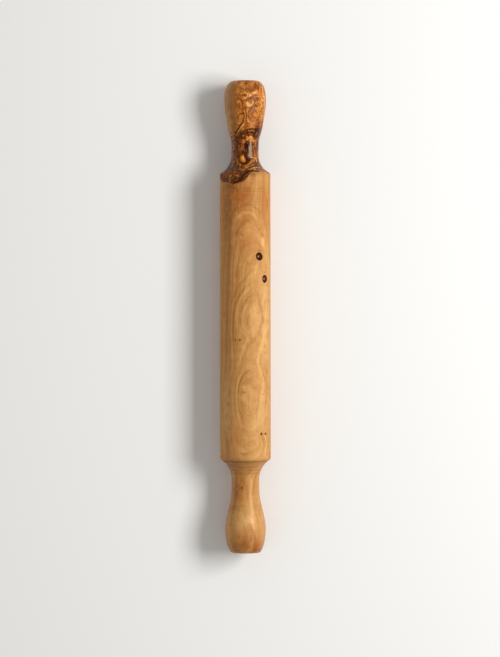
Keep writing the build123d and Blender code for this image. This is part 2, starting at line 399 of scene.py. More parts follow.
def on_surface(axes, uv, sink):
    """Points of the finished surface over places (u, v), sunk along w."""
    w = axes[3]
    height = np.zeros(len(uv))
    for _ in range(12):
        p = over(axes, uv, height)
        angle, radius = angle_and_radius(p)
        rate = (p[:, 1] * w[1] + p[:, 2] * w[2]) / radius
        height -= (radius - surface_radius(p[:, 0], angle)) / rate
    return over(axes, uv, height - sink)


def plug(axes, outer, inner, depth, sink, rows):
    """Closed plug whose top follows the surface; inner is the outline of a room in it, or None."""
    count = len(outer)
    middle = np.zeros_like(outer) if inner is None else inner
    shares = np.linspace(0, 1, rows + 1)
    rings = [middle + (outer - middle) * s for s in shares[inner is None:]]
    uv = np.concatenate(rings)
    if inner is None:
        uv = np.concatenate([uv, [(0.0, 0.0)]])
    ring = np.arange(count)
    after = (ring + 1) % count
    low = len(uv)
    points = [on_surface(axes, uv, sink(uv)), over(axes, outer, -depth)]
    faces = []

    def wall(a, b):
        faces.extend(zip(a + ring, b + ring, b + after, a + after))

    for r in range(len(rings) - 1):
        wall(r * count, (r + 1) * count)
    wall((len(rings) - 1) * count, low)
    if inner is None:
        faces.extend(zip(ring * 0 + low - 1, ring, after))
        faces.append(tuple(low + ring[::-1]))
    else:
        points.append(over(axes, inner, -depth))
        wall(low + count, 0)
        wall(low, low + count)
    return np.concatenate(points), faces


def ribbon_plug(axes, left, right, depth, sink, across=6):
    """Closed winding plug between two sides; its top follows the surface."""
    uv = np.concatenate([left * (1 - s) + right * s for s in np.linspace(0, 1, across + 1)])
    n = len(uv)
    grid = np.arange(n).reshape(across + 1, -1)
    a, b, c, d = (part.ravel() for part in (grid[:-1, :-1], grid[:-1, 1:], grid[1:, 1:], grid[1:, :-1]))
    rim = np.concatenate([grid[0], grid[1:, -1], grid[-1, -2::-1], grid[-2:0:-1, 0]])
    after = np.roll(rim, -1)
    faces = [*zip(a, b, c, d), *zip(n + a, n + d, n + c, n + b), *zip(rim, n + rim, n + after, after)]
    return np.concatenate([on_surface(axes, uv, sink(uv)), over(axes, uv, -depth)]), faces


def prism(axes, outline, low, high):
    """Closed prism over an outline, to cut its socket."""
    n = len(outline)
    faces = [tuple(range(n - 1, -1, -1)), tuple(range(n, 2 * n))]
    faces += [(i, (i + 1) % n, n + (i + 1) % n, n + i) for i in range(n)]
    return np.concatenate([over(axes, outline, low), over(axes, outline, high)]), faces


def crumbly(seed, size, amount, base):
    """How deep a crumbling top lies under the surface, over places (u, v)."""
    def sink(uv):
        flat = np.concatenate([uv, np.zeros((len(uv), 1))], axis=1)
        return base + amount * ripple(flat, size, seed, 12)
    return sink


def checked(reach):
    """How deep a dried heart lies under the surface: faint rings and two drying cracks."""
    def sink(uv):
        r = np.hypot(uv[:, 0], uv[:, 1])
        t = np.arctan2(uv[:, 1], uv[:, 0])
        rings = HEART_RING_HEIGHT * np.cos(2 * np.pi * r / (reach * HEART_RING_SHARE))
        off_crack = np.min([np.abs(np.sin(t - turn)) for turn in CRACK_TURNS], axis=0) * r
        cracks = CRACK_DEPTH * hump(off_crack, 0, CRACK_HALF) * (r < reach * CRACK_SHARE)
        return HEART_DEPTH + rings + cracks
    return sink


pieces = []
cutters = []


def add_piece(node, slot_name, kind, mesh, axes):
    """Adds a piece that replaces a node, to be dressed as its kind."""
    pieces.append((mesh_object(node + "_grown", *mesh), node, slot_name, kind, axes))


def ringed_knots():
    for node, x, angle, lean, radius, reach, bark_width, depth, seed in RINGED:
        axes = stub_axes(x, angle, lean, radius)
        outer = round_outline(reach, seed, *KNOT_OUTLINE)
        room = round_outline(reach - bark_width + GAP, seed + 100, *KNOT_OUTLINE)
        heart = plug(axes, grown(room, -GAP), None, depth - bark_width, checked(reach), 12)
        ring = plug(axes, outer, room, depth, crumbly(seed, *BARK_TOP), 5)
        add_piece(node + "_heart", "knot_heart", HEART_KINDS.get(node, "heart"), heart, axes)
        add_piece(node + "_bark", "knot_bark", BARK_KINDS.get(node, "bark"), ring, axes)
        cutters.append(prism(axes, grown(outer, GAP), -depth - GAP, SOCKET_HEADROOM))


def pin_knots():
    for node, x, angle, radius, reach, seed in PINS:
        axes = stub_axes(x, angle, PIN_LEAN, radius)
        outer = round_outline(reach, seed, *PIN_OUTLINE)
        stub = plug(axes, outer, None, PIN_DEPTH, crumbly(seed, *PIN_TOP), 6)
        add_piece(node, "knot_bark", BARK_KINDS.get(node, "pin"), stub, axes)
        cutters.append(prism(axes, grown(outer, GAP), -PIN_DEPTH - GAP, SOCKET_HEADROOM))


def bark_pockets():
    for node, points, width, shares, floor_radius, seed in POCKETS:
        left, right, middle = ribbon(points, width, shares, seed)
        start = turned_radius(middle[:, 0].mean())
        axes = (np.array((0, 0, start)),) + tuple(np.eye(3))
        depth = start - floor_radius
        bark_fill = ribbon_plug(axes, left, right, depth, crumbly(seed, *POCKET_TOP))
        add_piece(node, "pocket_bark", "pocket", bark_fill, axes)
        outline = np.concatenate([left, right[::-1]])
        x, y = outline.T
        if np.sum(x * np.roll(y, -1) - np.roll(x, -1) * y) < 0:
            outline = outline[::-1]
        cutters.append(prism(axes, grown(outline, GAP), -depth - GAP, 2 * SOCKET_HEADROOM))


def body_rows():
    """X and radius of the rows of the body's mesh, closer together on the grips."""
    step = np.where(np.abs(OUTLINE[:, 0]) < GRIP_ROWS_START, BARREL_STEP, GRIP_STEP)
    step = np.where(OUTLINE[:, 1] < FACE_ROWS_REACH, FACE_STEP, step)
    count = np.append(0, np.cumsum(np.diff(lengths_along(OUTLINE)) / step[1:]))
    marks = np.linspace(0, count[-1], int(count[-1]) + 1)[1:-1]
    return np.interp(marks, count, OUTLINE[:, 0]), np.interp(marks, count, OUTLINE[:, 1])


def body_mesh():
    """The finished surface of the pin, from the middle of one end face to the middle of the other."""
    row_x, row_r = body_rows()
    x = np.repeat(row_x, COLUMNS)
    r = np.repeat(row_r, COLUMNS)
    angle = np.tile(np.linspace(-180, 180, COLUMNS, endpoint=False), len(row_x))
    inside = PIN_END - np.abs(x)
    on_face = inside < 1e-4
    change = surface_radius(x, angle) - turned_radius(x)
    r = np.where(on_face, r, r + change * smooth(inside, 0.0, 2.0))
    rings = RING_HEIGHT * np.cos(2 * np.pi * r / RING_PITCH) - RING_DEPTH
    x = np.where(on_face, x + np.sign(x) * rings * smooth(FACE_REACH - r, 0, 1.0), x)
    y, z = across_up(angle)
    points = np.stack([x, r * y, r * z], axis=1)
    centre = PIN_END + RING_HEIGHT - RING_DEPTH
    points = np.concatenate([points, [(-centre, 0, 0), (centre, 0, 0)]])
    ring = np.arange(COLUMNS)
    after = (ring + 1) % COLUMNS
    last = (len(row_x) - 1) * COLUMNS
    faces = []
    for a in range(0, last, COLUMNS):
        faces += zip(a + ring, a + COLUMNS + ring, a + COLUMNS + after, a + after)
    faces += zip(ring * 0 + len(points) - 2, ring, after)
    faces += zip(ring * 0 + len(points) - 1, last + after, last + ring)
    return points, faces


def turned_wood():
    """The body with a socket for each piece."""
    body = mesh_object("turned_wood", *body_mesh())
    points, faces, start = [], [], 0
    for cutter_points, cutter_faces in cutters:
        points.append(cutter_points)
        faces += [tuple(start + i for i in face) for face in cutter_faces]
        start += len(cutter_points)
    cutter = mesh_object("sockets", np.concatenate(points), faces)
    cut = body.modifiers.new("sockets", "BOOLEAN")
    cut.operation = "DIFFERENCE"
    cut.solver = "EXACT"
    cut.object = cutter
    done = bpy.data.meshes.new_from_object(body.evaluated_get(bpy.context.evaluated_depsgraph_get()))
    body.modifiers.remove(cut)
    body.data = done
    bpy.data.objects.remove(cutter)
    return body


ringed_knots()
pin_knots()
bark_pockets()
body = turned_wood()

# Figure of the wood

# The side of the pin that faces the bark, along X: X, angle
CREST = [
    (-200, -40), (-152, -35), (-118, 2), (-66, 9), (-37, 16), (-6, 22.6), (20, 22.6), (60, 15), (95, 6),
    (125, 4), (200, 12)]
PITH_DEPTH = 40.0
# Swellings of the layers, which show as nested ovals: X, half-length and half-width of one oval
OVALS = [(-0.2, 18.7, 6.7), (-66.4, 24.6, 11.0)]
OVAL_REACH = 30.0
# How far the layers fall away from the ovals at most
MOST_FALL = 7.0
# Waves in the layers: height, wavelengths, seed
LAYER_WAVES = [(0.42, (60, 30, 30), 71), (0.14, (22, 9, 9), 72)]
# How many times further along the pin than across it a knot bends the grain
BEND_STRETCH = 1.6
# Knots that bend the grain: X, angle, bend, reach
BENDS = [(51.0, 34.0, 1.5, 5.5), (32.3, 50.5, 1.4, 5.0), (-98.5, 45.0, 0.9, 5.0), (-19.4, -17.0, 0.5, 4.0)]

# Strokes of the figure, one list for each kind: half-width, strength, points (X, Y)
DARK_STROKES = [
    # Upper oval and the arcs over it
    (0.8, 0.42, [(28.7, -4.6), (23.6, 1.3), (17.6, 5), (11.8, 7.4), (4, 9.7), (-7, 10.5), (-19.7, 10.5)]),
    (0.8, 0.34, [(38.5, -5), (33.5, -1), (26.5, 5.2), (20, 8.8), (12, 11.6)]),
    (0.9, 0.42, [(19.1, -6.4), (15.1, -1.7), (9.4, 2.1), (1.5, 3.8), (-7, 4.2)]),
    (0.9, 0.3, [(3.5, -4.4), (-1.9, -2.2), (-6.1, -1.9), (-9.5, -3.6)]),
    (1.4, 0.3, [(14.2, -11.4), (4, -13.9), (-2.7, -14.7), (-10.4, -12.2)]),
    # Waist between the ovals
    (0.7, 0.3, [(-21, -3.6), (-27, -1.6), (-33, 1)]),
    # Lower oval
    (0.8, 0.62, [(-44.6, -2.8), (-47.5, 0.2), (-51.5, 3), (-56.7, 5), (-64, 6.2)]),
    (0.6, 0.36, [(-49.7, 7.4), (-58, 8.3), (-70.6, 8.6), (-84, 7.8)]),
    (0.5, 0.3, [(-58.7, 6), (-70.6, 6.6), (-80.6, 5.6)]),
    (0.6, 0.36, [(-77.9, 5.2), (-83, 3.4), (-88.2, 1.8), (-91.8, -0.4)]),
    (0.6, 0.3, [(-68, -10.9), (-76, -10.3), (-86, -9.2)]),
    (0.6, 0.5, [(-64, -15.1), (-66, -14.9)]),
    (0.6, 0.42, [(-66.3, -11.3), (-68.2, -11.1)]),
    (0.55, 0.66, [(-62.8, 3.4), (-63.4, 1), (-63.6, -1.4)]),
    (0.6, 0.22, [(-73, 2.6), (-74.4, -0.4), (-73.2, -3.4)]),
    (0.6, 0.22, [(-76.4, 2.2), (-77.9, -0.6), (-76.6, -3.8)]),
    (1.6, 0.26, [(-94.5, 1.8), (-96.5, -1)]),
    (1.1, 0.42, [(-114.6, 4.4), (-115.6, 1.2), (-115.2, -1.6)]),
    # Long streaks
    (2.4, 0.15, [(111, 14.4), (40, 15.2), (-40, 14.8), (-112, 14.2)]),
    (1.5, 0.24, [(-36.7, 12.6), (-70.6, 12.9), (-108.8, 12.2)]),
    (1.5, 0.45, [(99, 12.6), (92, 13.4), (86, 13.6), (80, 14.9)]),
    (1.1, 0.26, [(76, 12.6), (56.6, 13.2), (34, 13.6), (14.2, 14.2), (-6, 15)]),
    (1.1, 0.3, [(-16, 12), (-26, 12.8), (-38, 13.6)]),
    (0.8, 0.28, [(-45.8, -14.4), (-52, -16.6), (-60.4, -17.5), (-75, -17.2)]),
    (0.7, 0.5, [(-99.6, -14.2), (-102.9, -15), (-107.9, -15.5)]),
    (0.6, 0.3, [(-91.6, -11), (-94, -13.5), (-95, -16.6)]),
    # Barrel next to the burl
    (1.3, 0.34, [(64, 14.4), (72.8, 13.7), (82.5, 12), (88.9, 9.5), (93, 4), (94.4, -3.1), (91.4, -9.2),
        (87.2, -13.2)]),
    (1.2, 0.26, [(70, 7.4), (78, 4.4), (81, -1.6), (77, -7.4)]),
    (1, 0.45, [(99.5, -17.6), (95.5, -19), (91.5, -18.4)]),
    (1.4, 0.45, [(69.8, 3.9), (68.4, 2.2)]),
    (0.8, 0.62, [(74.9, -12.2), (73.8, -12.4)]),
    (0.6, 0.34, [(69, -13), (69.6, -14.9), (68, -17), (64, -17.8), (59.6, -17.4)]),
    (0.6, 0.62, [(45.8, -12.6), (45.2, -12.7)]),
    (0.6, 0.55, [(42.8, -13), (42.2, -13)]),
    (0.6, 0.5, [(39.9, -12.9), (39.3, -12.9)]),
    (0.8, 0.5, [(56.2, -10.8), (55.6, -12.2), (55.6, -13.6)]),
    (0.8, 0.45, [(38.2, -16), (37.4, -17.2)]),
    # Burl shoulder
    (0.6, 0.8, [(111, 11.8), (112.6, 9.7), (114.3, 7.2), (115.4, 4.2), (116.9, 1.6)]),
    (0.6, 0.8, [(116.9, 1.6), (118.7, 0.6), (121, -0.8), (122.6, -2.7), (123.4, -5.9), (123.4, -9.1),
        (122.6, -12)]),
    (1.5, 0.95, [(112.9, 12.4), (113.4, 8.6), (113.9, 5.4), (115, 2.6), (116.8, 0.2), (119, -1.8),
        (121.2, -4)]),
    (0.8, 0.85, [(123, 10.3), (124.3, 7), (125.9, 3.8), (127.6, 2.2)]),
    (1.3, 0.8, [(127, 6), (126.2, 2.2), (125.2, -0.2)]),
    (0.7, 0.75, [(125.6, -2), (127.6, -7), (127.2, -12), (124.4, -16.4)]),
    (0.6, 0.8, [(119.4, 14.6), (121.6, 11.6), (121, 8), (119.6, 5.2)]),
    (0.8, 0.8, [(126, -3.2), (129.4, -6), (128.6, -10.4)]),
    # Burl neck
    (0.8, 0.9, [(148.5, 10.6), (151.5, 8.6), (154.5, 6.4), (156.4, 3)]),
    (1.9, 0.7, [(152, 6.4), (154.6, 3.6), (155.6, 1)]),
    (0.8, 0.9, [(154.5, 1.2), (156, -4), (155, -9.7)]),
    (0.5, 0.8, [(150.8, -0.4), (149, -0.8), (148, -3.6), (146.8, -6.4)]),
    (0.6, 0.7, [(153.6, -8.2), (150.2, -9.4), (146.4, -9.8)]),
    (0.6, 0.9, [(138.6, 3.6), (135.6, 4.8), (131.8, 4.8), (129.6, 2.6), (129.4, -0.6), (131.4, -2.8)]),
    (1.2, 0.9, [(146.6, 0.4), (144.2, -1), (141.6, -1.6)]),
    (0.4, 0.6, [(146, 5.6), (141, 5.9), (136.6, 6)]),
    # Burl bulb
    (0.7, 0.9, [(186.8, 2.6), (186.4, 0), (185.8, -0.8)]),
    (0.7, 0.8, [(184, -3.6), (185.6, -6), (187.6, -9.6)]),
    (0.8, 0.7, [(189.8, -3.4), (191.6, -5), (193.4, -9.2)]),
    (0.6, 0.7, [(183.2, 4.2), (181, 2.6), (176.6, 2)]),
    (0.55, 0.8, [(172.6, 1.6), (168, 0.6), (163.7, 2.8), (159.4, 5.6), (155.4, 8)]),
    (0.6, 0.8, [(177, -0.4), (171.6, -0.9), (166, -0.9), (162.4, 0.8)]),
    (0.5, 0.8, [(172.6, -6.8), (172.9, -9), (170.6, -10.9), (168.2, -9.4), (168.4, -6.6), (170.6, -5.6),
        (172.6, -6.8)]),
    (1, 0.8, [(183.4, -5.2), (182.4, -5.6)]),
    (0.9, 0.8, [(181.8, -14.2), (180.6, -14.6)]),
    (0.9, 0.6, [(197, 0.6), (196, -0.8)]),
    (0.9, 0.7, [(196.2, -8), (195, -9.4)]),
    (0.7, 0.5, [(194.6, 6), (192.6, 3), (191.6, -0.4)]),
    (0.6, 0.6, [(179, -7.4), (177.8, -10.2), (178.8, -13)]),
    (0.6, 0.6, [(166.4, -4.2), (165.2, -8), (166.6, -12.4)]),
    (0.6, 0.4, [(188, 7.6), (184, 8.8), (179, 7.6), (173, 8.6)]),
    (0.6, 0.35, [(192, 9), (186, 11.4), (178, 11.8)]),
    # Plain part of the burl bulb
    (0.9, 0.3, [(176, 4.6), (170, 5.4), (162, 7.4)]),
    (1.3, 0.3, [(188, 9), (176, 10.4), (166, 10.6)]),
    # Plain grip
    (0.9, 0.2, [(-146, 3), (-150, 3.4)]),
    (1.4, 0.3, [(-181, 9.5), (-187, 8), (-192, 6.2)]),
    (1.4, 0.3, [(-178, -5), (-184, -7.4), (-190, -8.6), (-195, -8)]),
    (1.1, 0.28, [(-184, 1.8), (-190, 2.6), (-196, 1.4)]),
    (1.6, 0.3, [(-148, 8), (-156, 8.8), (-166, 11), (-176, 12.2)]),
    (0.8, 0.26, [(-160, 4.6), (-168, 6.6), (-176, 6)]),
    (0.8, 0.24, [(-172, 2.4), (-180, 0.8), (-188, -0.6)]),
    (0.9, 0.3, [(-183.6, 6), (-188.4, 3.4), (-190.2, -0.8)])]
PALE_STROKES = [
    # Upper oval and the arcs over it
    (1.2, 0.3, [(24, -3.6), (19, 1.6), (12, 5.6), (2, 7.4), (-10, 7.4)]),
    (1.2, 0.34, [(10, -1.6), (5.1, 1.2), (-1.1, 1.8), (-8.7, 1.3), (-12.9, -2.9)]),
    (1.3, 0.36, [(14.2, -14.6), (4, -16.7), (-8.7, -16.7), (-19.7, -14.7), (-30, -13.5)]),
    # Waist between the ovals
    (1.1, 0.34, [(-10, 4.6), (-17.5, -2), (-24, 0.6), (-32, 3.6), (-42, 6.2)]),
    (1.1, 0.44, [(-18, -14.2), (-28, -12.4), (-38, -10.6), (-46, -13), (-54, -15.3), (-64, -14.8),
        (-73.1, -13.4), (-83.9, -12.4)]),
    # Lower oval
    (0.9, 0.28, [(-50.7, 5.8), (-58, 7.2), (-68, 7.6), (-78, 6.6), (-86, 5), (-94, 3.4)]),
    (1.9, 0.42, [(-59.2, 1.6), (-59.4, 0)]),
    (2.1, 0.42, [(-67.4, 2.4), (-69, 1.6)]),
    (1.6, 0.34, [(-111.8, 2.6), (-112.6, -0.6)]),
    # Long streaks
    (0.8, 0.75, [(-99.8, -16), (-103.4, -17.6), (-112.2, -17.3), (-118.1, -16.9)]),
    # Barrel next to the burl
    (1.5, 0.3, [(74, 10.4), (82, 7.6), (87, 1.6), (87.6, -4.4), (83, -10)]),
    (2.2, 0.7, [(65.6, -14.9), (61.2, -14.9)]),
    (1.4, 0.36, [(45, -10.6), (41, -9.2), (36.5, -8.4)]),
    # Burl shoulder
    (0.7, 0.6, [(123.4, 2.6), (125.6, -0.6), (127.4, -4.2), (128.8, -8)]),
    (0.7, 0.55, [(124.2, -3.8), (126.2, -8.4), (126, -13)]),
    # Burl neck
    (0.7, 0.85, [(155.9, 0.6), (157.3, -3.4), (157.2, -6), (156.3, -9.9)]),
    (0.7, 0.55, [(165, -0.8), (160.6, 2.8), (157.4, 5), (154.8, 7)]),
    (0.8, 0.9, [(152.6, -3.8), (151.2, -5.4)]),
    (0.6, 0.8, [(150.6, -1.4), (149, -2.2)]),
    (1, 0.8, [(135.4, 1.8), (132.8, 1.6)]),
    (0.5, 0.6, [(134.8, -4.2), (134.6, -6.6), (133.2, -9.4), (131, -9.8)]),
    # Burl bulb
    (0.9, 0.75, [(188.4, 3.8), (189.2, 0.6), (187.6, -2.4), (185.2, -1.4), (184, 2.2)]),
    (0.8, 0.5, [(181.2, 7.2), (181.9, 4)]),
    (1.1, 0.85, [(185.8, -3.2), (188, -6.2), (190.8, -10.4)]),
    (1.8, 0.9, [(180.8, -1.8), (179, -3), (178.2, -4.6)]),
    (0.8, 0.45, [(175.8, -2.4), (171, -1.6)]),
    (0.6, 0.5, [(180.2, -8.8), (182.2, -13.2)]),
    (0.6, 0.5, [(176.4, -6.8), (175.6, -11)]),
    (1.3, 0.75, [(195.2, -14.6), (186, -16), (176, -16.4), (166.2, -15.4)]),
    (1.7, 0.6, [(186, -15.2), (176, -15.4), (168, -13.6), (160.5, -10.8)]),
    (2.2, 0.3, [(195.4, 5), (194.2, -1)]),
    # Plain grip
    (1.1, 0.35, [(-182, -1.4), (-188, -2.6), (-194, -1.6)]),
    (2, 0.3, [(-168, -2), (-173, -6.6)])]
ORANGE_STROKES = [
    # Long streaks
    (1.5, 0.3, [(-36.7, -18.1), (-70.6, -19.3), (-104.6, -18.7)]),
    # Barrel next to the burl
    (2.6, 0.4, [(107.5, -15.5), (98, -17.8), (88, -19.2), (73.6, -20.4)]),
    (1.6, 0.3, [(56.8, -11.4), (55.8, -13.2)]),
    # Burl shoulder
    (1.2, 0.7, [(122.8, -12.5), (121.8, -15.5), (120.4, -18.4)]),
    (0.8, 0.6, [(121.4, 9.6), (122.8, 7.4)]),
    (1.1, 0.6, [(119.6, 8), (118.4, 5.4)]),
    (0.9, 0.6, [(124.6, 5), (127.4, -1), (130.6, -4.6), (134.6, -8.6)]),
    # Burl neck
    (1.9, 0.95, [(152.4, -1.6), (150.6, -3.2), (149.4, -6.2), (148.4, -8.2)]),
    (1.3, 0.85, [(149.6, 0.8), (147.4, 0.6)]),
    (2.1, 0.95, [(135.8, 2.4), (133.2, 2.2), (131.6, 1.6)]),
    (0.7, 0.5, [(147, 7.6), (142, 8.2), (137, 7.8)]),
    (0.7, 0.6, [(144.6, -6.8), (140, -8), (136.4, -8.4)]),
    # Burl bulb
    (0.8, 0.8, [(174.8, 0.8), (169.8, -0.2), (166, 0)]),
    (1.5, 0.7, [(171, -7.4), (169.8, -8.8)]),
    (1.2, 0.6, [(165.4, -2.4), (163.2, -5.6), (162.6, -9.6)]),
    # Plain grip
    (1.4, 0.4, [(-139.6, 3.4), (-142.4, 3)]),
    (1.5, 0.5, [(-193.8, -11.8), (-195.6, -10.4)]),
    (1.3, 0.4, [(-195.4, 4.8), (-196.6, 3.4)]),
    (1.6, 0.45, [(-184, -11.6), (-190, -10.6), (-194.6, -6.6)])]
STROKES = {"dark": DARK_STROKES, "pale": PALE_STROKES, "orange": ORANGE_STROKES}
# How far a stroke is felt, in its half-widths, the step between the points that its line is made of, and
# the share of its width that is left at its tips
STROKE_END = 6.0
STROKE_STEP = 0.25
STROKE_TIP = 0.55
# X of the ridge where the dark figure of the burl neck ends, the share of it that shows at the shoulder
# and past the ridge, and the share that is missing on the neck's lighter side
NECK_RIDGE = 157.5
DEEP_AT_SHOULDER = 0.78
DEEP_OVER_RIDGE = 0.22
LIGHTER_SIDE = 0.45
# Distances from the middle between which the wood goes from dull to polished by hands
HANDLED_FROM = (119.0, 128.0)
# Radius within which the wood is darker at the end faces
END_SHADE_REACH = 12.5

# Broad soft patches of each kind: X, Y, half-length, half-width, strength; calm wood has faint lines
PATCHES = {
    "red": [(103, 5, 13, 10, 0.9), (84, 4, 17, 9, 0.5), (104, 10, 7, 3, 0.7), (36, 7.6, 6, 2.4, 0.5),
        (92, -17, 18, 5, 0.5), (-141.5, 2.4, 4.5, 3.2, 0.6), (64, 3, 9, 8, 0.35), (-195, -9, 4, 7, 0.45),
        (20, 10, 40, 5, 0.2), (-150, 3, 12, 6, 0.35), (-190, 4, 7, 8, 0.45), (178, 8, 16, 5, 0.45),
        (166, 5, 8, 5, 0.4), (72, 8, 8, 4, 0.35), (0, 9, 100, 5, 0.16)],
    # Brown patches are mostly the wood's own darker colour; the one at the plain shoulder's cove (X -126) is
    # partly painted shade, and the wide one over the foot of the plain bulb (X -194) is partly painted shade
    # at the pin's end
    "brown": [(-194, 0, 8, 26, 0.42), (-197, -10, 5, 7, 0.9), (-186, 8, 8, 5, 0.3), (-170, 10, 12, 5, 0.15),
        (-178, -3, 6, 3, 0.3), (-126, 12, 7.5, 17, 0.5), (-141, 8, 12, 8, 0.45), (178, 13, 26, 7, 0.6),
        (172, 6.5, 14, 5, 0.6), (163, 8.5, 9, 6, 0.8), (51, -12, 5.5, 5, 0.35), (32, -16.6, 5.5, 4, 0.35),
        (113, 12, 8, 9, 0.6), (109.5, 8, 4.5, 8, 0.6), (104, -12, 14, 6, 0.16), (120.6, -8, 2.6, 6, 0.7),
        (86, 16, 20, 5, 0.5), (58, 13, 9, 3, 0.35), (106, 2, 5, 5, 0.35), (93, 8, 5, 3, 0.35),
        (79, 9, 5, 3, 0.3), (70, 6, 5, 3.5, 0.3), (98, -5, 4, 3, 0.25), (-99, -14.5, 4, 3.5, 0.55),
        (-19.4, 6.6, 3, 4, 0.3)],
    # Straw patches: the long ones along the lit side of the barrel and the plain bulb, at Y -9 to -17, are
    # painted sheen; the one at X -76, Y 15 is painted bounce light on the shaded side; the rest are the
    # wood's own paler colour
    "straw": [(185, 12, 7, 3.5, 0.25), (0, -17, 60, 9, 0.6), (-80, -14, 40, 12, 0.5), (-4, -9, 24, 7, 0.4),
        (40, -17, 30, 5, 0.35), (-66, -4, 22, 6, 0.2), (-76, 15, 36, 8, 0.5), (-173, 12, 9, 5, 0.3),
        (-171, -1, 9, 10, 0.6), (-113, 2, 5, 6, 0.3), (-175, -13, 12, 5, 0.3)],
    "calm": [(-176, 0, 18, 26, 0.75), (-105, 0, 15, 22, 0.9), (72, -2, 16, 19, 0.6), (60, -8, 26, 12, 0.5)]}


def layer_height(p):
    """Height through the growth layers at points round the axis, in millimetres."""
    x = p[:, 0]
    crest_x, crest_angle = np.array(CREST, float).T
    crest = np.radians(smooth_curve(crest_x, crest_angle, x))
    along = np.cos(crest) * p[:, 2] - np.sin(crest) * p[:, 1]
    across = np.cos(crest) * p[:, 1] + np.sin(crest) * p[:, 2]
    height = np.hypot(along + PITH_DEPTH, across) - PITH_DEPTH
    falls = []
    for place, half_length, half_width in OVALS:
        turn = half_width / BARREL_RADIUS
        rim = np.hypot(BARREL_RADIUS * math.cos(turn) + PITH_DEPTH, BARREL_RADIUS * math.sin(turn))
        drop = BARREL_RADIUS + PITH_DEPTH - rim
        away = (x - place) / OVAL_REACH
        falls.append(2 * drop * (OVAL_REACH / half_length) ** 2 * (np.sqrt(1 + away ** 2) - 1))
    fall = -np.log(np.exp(-2 * falls[0]) + np.exp(-2 * falls[1])) / 2
    height -= np.minimum(fall, MOST_FALL)
    top = BARREL_RADIUS - height
    calm = 0.25 + 0.75 * smooth(top, 0.0, 4.0)
    height += calm * sum(rise * ripple(p, sizes, seed, 10) for rise, sizes, seed in LAYER_WAVES)
    for place, angle, bend, reach in BENDS:
        y, z = across_up(angle)
        away = (p - (place, BARREL_RADIUS * y, BARREL_RADIUS * z)) / (BEND_STRETCH, 1, 1)
        away = np.linalg.norm(away, axis=1)
        height += bend * hump(away, 0, reach)
    return height


def on_top(x, y):
    """Point, or points, of the upper surface over places (X, Y)."""
    return np.stack([x, y, np.sqrt(np.maximum(turned_radius(x) ** 2 - y ** 2, 1.0))], axis=-1)


def stroke_fields(p, strokes):
    """Distance to the nearest of the strokes, in its own half-widths, and that stroke's strength."""
    distance = np.full(len(p), STROKE_END)
    strength = np.zeros(len(p))
    for width, power, points in strokes:
        points = np.asarray(points, float)
        run = lengths_along(points)
        t = np.append(np.arange(0, run[-1], STROKE_STEP), run[-1])
        line = on_top(smooth_curve(run, points[:, 0], t), smooth_curve(run, points[:, 1], t))
        taper = STROKE_TIP + (1 - STROKE_TIP) * np.sin(np.pi * t / run[-1]) ** 0.6
        margin = STROKE_END * width
        near = np.all((p > line.min(axis=0) - margin) & (p < line.max(axis=0) + margin), axis=1)
        if near.any():
            away = np.linalg.norm(p[near][:, None, :] - line[None, :, :], axis=2) / (width * taper)
            away = away.min(axis=1)
            closer = away < distance[near]
            where = np.flatnonzero(near)[closer]
            distance[where] = away[closer]
            strength[where] = power
    return distance, strength


def patch_field(p, patches):
    """How strongly the strongest of the patches shows at each point."""
    total = np.zeros(len(p))
    for x, y, half_length, half_width, power in patches:
        away = np.linalg.norm((p - on_top(x, y)) / (half_length, half_width, half_width), axis=1)
        total = np.maximum(total, power * hump(away, 0, 1))
    return total


def points_of(mesh):
    """A mesh's points round the axis, in millimetres."""
    flat = np.empty(len(mesh.vertices) * 3, np.float32)
    mesh.vertices.foreach_get("co", flat)
    return flat.reshape(-1, 3).astype(float) / MM - (0, 0, AXIS_HEIGHT)


def store(mesh, name, values):
    """Stores a value for each point of a mesh."""
    layer = mesh.attributes.new(name, "FLOAT", "POINT")
    layer.data.foreach_set("value", np.asarray(values, np.float32))


def deep_share(p):
    """How much of the dark figure of the burl neck shows at each point, where there is burl."""
    x, y = p[:, 0], p[:, 1]
    ridge = NECK_RIDGE - 6.0 * smooth(y, 0, 10) + 1.5 * smooth(-y, 0, 8) + ripple(p, 8, 31)
    lighter = LIGHTER_SIDE * smooth(-y, 4, 9) * smooth(x, 128, 134) * smooth(153 - x, 0, 4)
    on_neck = (DEEP_AT_SHOULDER + (1 - DEEP_AT_SHOULDER) * smooth(x, 122, 134)) * (1 - lighter)
    return np.maximum(smooth(ridge - x, -0.8, 0.8) * on_neck, DEEP_OVER_RIDGE * smooth(171 - x, 0, 10))


